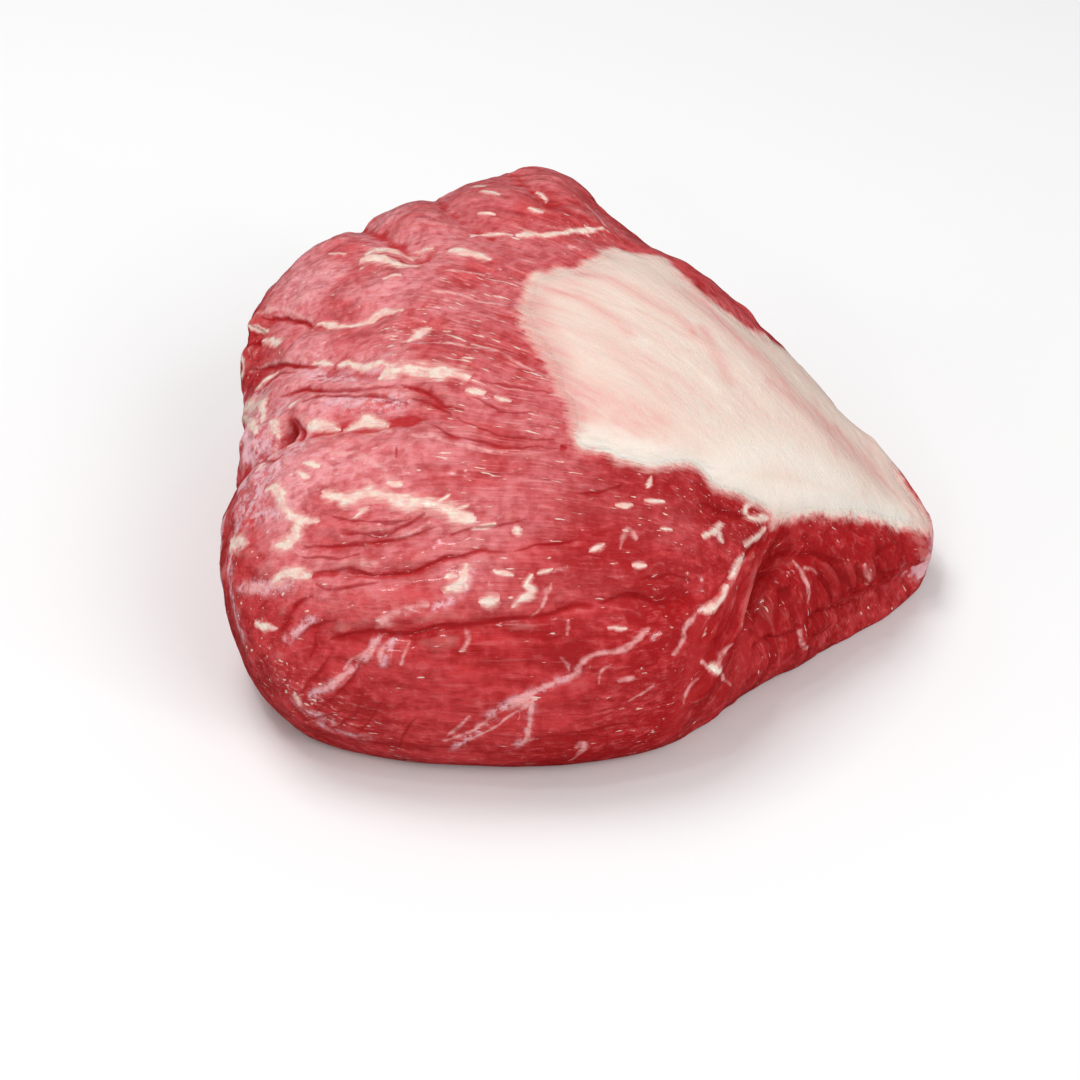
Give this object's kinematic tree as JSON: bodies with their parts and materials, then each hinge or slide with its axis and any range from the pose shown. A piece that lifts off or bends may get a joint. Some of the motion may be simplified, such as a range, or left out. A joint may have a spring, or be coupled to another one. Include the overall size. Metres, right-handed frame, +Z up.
{
  "type": "raw beef rump cap",
  "caption": "Wedge of raw beef with a flat underside, tall at the back and left, thin at its right-hand point, with a fat cap let into the slope.",
  "frame": {"origin": "on the flat underside, under the middle of the piece's box", "axes": "+Z up from the resting face; +X towards the thin point of the wedge, right in the picture; +Y towards the back corner, away from the picture's camera"},
  "size_m": [0.1782, 0.1948, 0.0762],
  "materials": {
    "lean_meat": "wet raw muscle: red with fine grain, white fat flecks and a soft gloss",
    "beef_fat": "raw fat: cream with pink streaks and a waxy sheen"
  },
  "bodies": {
    "root": {"lean": "lean_meat", "fat_cap": "beef_fat"}
  },
  "joints": []
}
